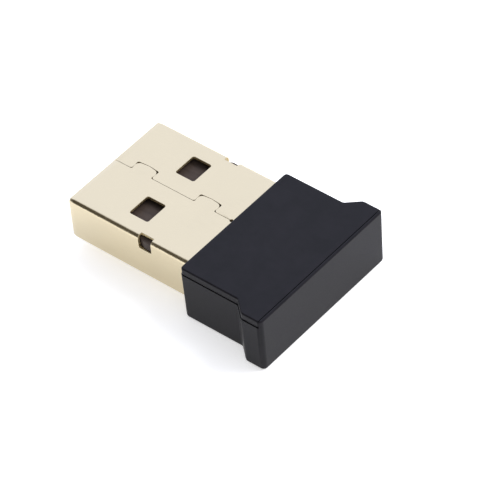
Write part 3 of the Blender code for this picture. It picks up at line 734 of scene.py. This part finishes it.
def carrier_latches_tool():
    """Two wedges that snap into the notches of the shell."""
    builder = bmesh.new()
    front = NOTCH_FRONT + LATCH_GAP
    back = NOTCH_FRONT + NOTCH_LENGTH - LATCH_GAP
    crest = carrier_high.y
    for side in (-1, 1):
        outline = [
            (front, side * LATCH_ROOT_Y),
            (front, side * CARRIER_HALF),
            (front + LATCH_RAMP, side * crest),
            (back, side * crest),
            (back, side * LATCH_ROOT_Y),
        ]
        prism_z(builder, outline, LATCH_LOW_Z, LATCH_TOP_Z)
    return builder


def make_carrier(material):
    """A thick tongue with a full-height block behind it."""
    front, back = carrier_low.x, carrier_high.x
    top, low = carrier_high.z, carrier_low.z
    outline = [
        (front, CARRIER_UNDER + CARRIER_LEAD),
        (front, top - CARRIER_LEAD),
        (front + CARRIER_LEAD, top),
        (back, top),
        (back, low),
        (CARRIER_BLOCK_FRONT, low),
        (CARRIER_BLOCK_FRONT, CARRIER_UNDER),
        (front + CARRIER_LEAD, CARRIER_UNDER),
    ]
    builder = bmesh.new()
    prism_y(builder, outline, -CARRIER_HALF, CARRIER_HALF)
    carrier = add_object("carrier_body", builder)
    combine(carrier, carrier_latches_tool(), "UNION")
    combine(carrier, carrier_slots_tool(), "DIFFERENCE")
    return finish_piece(carrier, "contact_carrier", material, MOULDED_EDGE)


# ---------------------------------------------------------------- housing


def flared_outline(inset, front_inset, front_corner, crest, end_corner):
    """Plan of the housing, drawn in by an inset: narrow, then a slope on both sides, then wide.

    The round at the foot of the slope keeps its centre, so every inset gives a parallel slope.
    """
    front = FRONT_X + front_inset
    end = END_X - inset
    narrow = NARROW_HALF - inset
    wide = WIDE_HALF - inset
    foot = FLARE_FOOT + inset
    slope = math.radians(FLARE_ANGLE)
    straight_rise = wide - narrow - (foot + crest) * (1.0 - math.cos(slope))
    stop = FLARE_FRONT + (foot + crest) * math.sin(slope) + straight_rise / math.tan(slope)
    half = arc(front + front_corner, narrow - front_corner, front_corner, 180, 90, 8)
    half += arc(FLARE_FRONT, narrow + foot, foot, -90, FLARE_ANGLE - 90, 10)
    half += arc(stop, wide - crest, crest, 90 + FLARE_ANGLE, 90, 10)
    half += arc(end - end_corner, wide - end_corner, end_corner, 90, 0, 12)
    return half + [(x, -y) for x, y in reversed(half)]


def outer_ring(height, edge=0.0):
    """Outside of the housing at a height, drawn in by the draft and by an edge rounding."""
    inset = DRAFT * (1.0 - height / HEIGHT) + edge
    outline = flared_outline(
        inset,
        edge,
        max(FRONT_CORNER - edge, SMALLEST_CORNER),
        max(FLARE_CREST - inset, SMALLEST_CORNER),
        max(END_CORNER - edge, SMALLEST_CORNER),
    )
    return [(x, y, height) for x, y in outline]


def inner_ring(height, gap):
    """Inside of the housing at a height, a gap in from the inner face of the wall."""
    inset = WALL + gap
    outline = flared_outline(inset, inset, INNER_FRONT_CORNER, INNER_CREST, INNER_END_CORNER)
    return [(x, y, height) for x, y in outline]


def rounded_edge(radius, steps=8):
    """Pairs of inset and drop along a quarter-round edge, from the wall to the face."""
    pairs = []
    for step in range(steps + 1):
        angle = 0.5 * math.pi * step / steps
        pairs.append((radius * (1.0 - math.cos(angle)), radius * (1.0 - math.sin(angle))))
    return pairs


def plug_passage_tool():
    """Room for the shell in the front of the housing."""
    builder = bmesh.new()
    half = SHELL_HALF + SHELL_CLEARANCE
    low = SHELL_BOTTOM - SHELL_CLEARANCE
    high = SHELL_TOP + SHELL_CLEARANCE
    outline = rounded_rectangle(-half, half, low, high, SHELL_BEND + SHELL_CLEARANCE)
    ends = (FRONT_X - SHEET, SHELL_BACK + SHELL_CLEARANCE)
    skin(builder, [[(x, y, z) for y, z in outline] for x in ends])
    return builder


def support_tool(low, high, inner_y, outer_y):
    """Ribs that hold the edges of the board."""
    builder = bmesh.new()
    add_box(builder, (RIB_FRONT, inner_y, low), (RIB_BACK, outer_y, high))
    add_box(builder, (RIB_FRONT, -outer_y, low), (RIB_BACK, -inner_y, high))
    return builder


def lid_seat_tool(low, back):
    """The space of the lid, above a height and up to the end wall of the tray."""
    builder = bmesh.new()
    half = WIDE_HALF + WALL
    add_box(builder, (FRONT_X - WALL, -half, low), (back, half, HEIGHT + WALL))
    return builder


def make_base(material):
    """The lower tray: full height, then cut down to the parting line apart from the end wall."""
    rings = [outer_ring(drop, inset) for inset, drop in reversed(rounded_edge(BOTTOM_EDGE))]
    for inset, drop in rounded_edge(TOP_EDGE):
        rings.append(outer_ring(HEIGHT - drop, inset))
    rings.append(inner_ring(HEIGHT, 0.0))
    rings.append(inner_ring(FLOOR, 0.0))
    builder = bmesh.new()
    skin(builder, rings)
    base = add_object("housing_tray", builder)
    combine(base, support_tool(0.5 * FLOOR, board_low.z - JOINT_GAP, *BASE_RIB), "UNION")
    combine(base, lid_seat_tool(PARTING_Z, LID_END_X + PARTING_GAP), "DIFFERENCE")
    combine(base, plug_passage_tool(), "DIFFERENCE")
    return finish_piece(base, "housing_base", material, PARTING_EDGE)


def make_cover(material):
    """The lid, with a lip that drops inside the tray."""
    bottom = PARTING_Z + PARTING_GAP
    rings = [inner_ring(CEILING_Z, JOINT_GAP + LIP_THICKNESS)]
    rings.append(inner_ring(LIP_BOTTOM_Z, JOINT_GAP + LIP_THICKNESS))
    rings.append(inner_ring(LIP_BOTTOM_Z, JOINT_GAP))
    rings.append(inner_ring(bottom, JOINT_GAP))
    rings.append(outer_ring(bottom, LID_STEP))
    for inset, drop in rounded_edge(TOP_EDGE):
        rings.append(outer_ring(HEIGHT - drop, LID_STEP + inset))
    builder = bmesh.new()
    skin(builder, rings)
    cover = add_object("housing_lid", builder)
    combine(cover, support_tool(board_high.z + JOINT_GAP, LID_RIB_TOP_Z, *LID_RIB), "UNION")
    combine(cover, lid_seat_tool(0.0, LID_END_X), "INTERSECT")
    combine(cover, plug_passage_tool(), "DIFFERENCE")
    return finish_piece(cover, "housing_cover", material, PARTING_EDGE)


# ---------------------------------------------------------------- floor, light and camera


def make_floor():
    """A wide sheet of white paper on a light table, which softens the shadow.

    It lies a hair below the housing, so that the two faces don't coincide.
    """
    bpy.ops.mesh.primitive_plane_add(size=3.0)
    floor = bpy.context.active_object
    floor.name = "floor"
    floor.location.z = -FLOOR_DROP
    nodes = Nodes("floor_paper")
    fibre = nodes.noise(900.0, 2.0, 0.5)
    paper = nodes.mix(fibre, *PAPER_COLOURS)
    nodes.set(Base_Color=paper, Roughness=0.9, Specular_IOR_Level=0.0, Emission_Color=paper,
              Emission_Strength=TABLE_GLOW)
    floor.data.materials.append(nodes.material)


def near_direction(tree, direction, inner, outer):
    """One around a direction, nothing far from it; inner and outer are angles in degrees."""
    coordinates = tree.nodes.new("ShaderNodeTexCoord")
    dot = tree.nodes.new("ShaderNodeVectorMath")
    dot.operation = "DOT_PRODUCT"
    dot.inputs[1].default_value = Vector(direction).normalized()
    tree.links.new(coordinates.outputs["Generated"], dot.inputs[0])
    spread = tree.nodes.new("ShaderNodeMapRange")
    spread.interpolation_type = "SMOOTHSTEP"
    spread.inputs["From Min"].default_value = math.cos(math.radians(outer))
    spread.inputs["From Max"].default_value = math.cos(math.radians(inner))
    tree.links.new(dot.outputs["Value"], spread.inputs["Value"])
    return spread.outputs["Result"]


def make_world():
    """A pale studio with white walls in some directions and dark ones in others."""
    world = bpy.data.worlds.new("studio")
    bpy.context.scene.world = world
    world.use_nodes = True
    tree = world.node_tree
    last = None
    for direction, inner, outer, colour in WALLS:
        mix = tree.nodes.new("ShaderNodeMix")
        mix.data_type = "RGBA"
        first, second = [socket for socket in mix.inputs if socket.type == "RGBA"]
        if last is None:
            first.default_value = (*ROOM, 1.0)
        else:
            tree.links.new(last, first)
        second.default_value = (*colour, 1.0)
        tree.links.new(near_direction(tree, direction, inner, outer), mix.inputs["Factor"])
        last = [socket for socket in mix.outputs if socket.type == "RGBA"][0]
    tree.links.new(last, tree.nodes["Background"].inputs["Color"])


def make_light(name, direction, distance, size, power, colour):
    """A square softbox that faces the object and leaves no reflection of itself."""
    data = bpy.data.lights.new(name, "AREA")
    data.shape = "SQUARE"
    data.size = size
    data.energy = power
    data.color = colour
    light = bpy.data.objects.new(name, data)
    bpy.context.collection.objects.link(light)
    towards = Vector(direction).normalized()
    light.location = towards * distance
    light.rotation_mode = "QUATERNION"
    light.rotation_quaternion = towards.to_track_quat("Z", "Y")
    light.visible_glossy = False


def make_camera():
    data = bpy.data.cameras.new("camera")
    data.sensor_width = 36.0
    data.lens = CAMERA_LENS
    data.clip_start = 0.01
    data.clip_end = 10.0
    camera = bpy.data.objects.new("camera", data)
    bpy.context.collection.objects.link(camera)
    azimuth = math.radians(CAMERA_AZIMUTH)
    elevation = math.radians(CAMERA_ELEVATION)
    back = Vector((
        math.sin(azimuth) * math.cos(elevation),
        -math.cos(azimuth) * math.cos(elevation),
        math.sin(elevation),
    ))
    camera.location = CAMERA_AIM + back * CAMERA_DISTANCE
    turn = back.to_track_quat("Z", "Y").to_matrix().to_4x4()
    roll = Matrix.Rotation(math.radians(CAMERA_ROLL), 4, "Z")
    camera.rotation_mode = "QUATERNION"
    camera.rotation_quaternion = (turn @ roll).to_quaternion()
    bpy.context.scene.camera = camera


# ---------------------------------------------------------------- assembly


def dress_chip_parts():
    """Give the CAD nodes that stay their materials."""
    package = package_black()
    ferrite = package_black("dark_ceramic", FERRITE_COLOUR)
    ceramic = package_black("white_ceramic", CERAMIC_COLOUR)
    plain = {
        "wifi_chip": package,
        "surge_diode": package,
        "voltage_regulator": package,
        "power_inductor": ferrite,
        "crystal_base": ceramic,
        "crystal_lid": lid_metal(),
    }
    tan = (0.36, 0.24, 0.14)
    dark = (0.04, 0.04, 0.045)
    bodies = {
        "ferrite_bead": dark,
        "antenna_inductor": dark,
        "bias_resistor_1": (0.015, 0.015, 0.02),
        "bias_resistor_2": (0.015, 0.015, 0.02),
        "chip_antenna": (0.55, 0.53, 0.48),
        "antenna_capacitor": tan,
        "crystal_capacitor_1": tan,
        "crystal_capacitor_2": tan,
    }
    for number in range(1, 5):
        bodies[f"decoupling_capacitor_{number}"] = tan
    for node, material in plain.items():
        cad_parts[node].material_slots[0].material = material
    for node, colour in bodies.items():
        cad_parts[node].material_slots[0].material = terminal_part(node, colour)
    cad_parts["circuit_board"].material_slots[0].material = board_green()


def main():
    black = housing_black()
    make_shell(gold_plate(), cut_gold())
    make_carrier(carrier_black())
    make_contacts(contact_gold())
    make_base(black)
    make_cover(black)
    dress_chip_parts()
    make_floor()
    make_world()
    make_light("key", KEY_DIRECTION, KEY_DISTANCE, KEY_SIZE, KEY_POWER, WHITE)
    make_camera()
    bpy.context.scene.view_settings.view_transform = "Standard"


main()
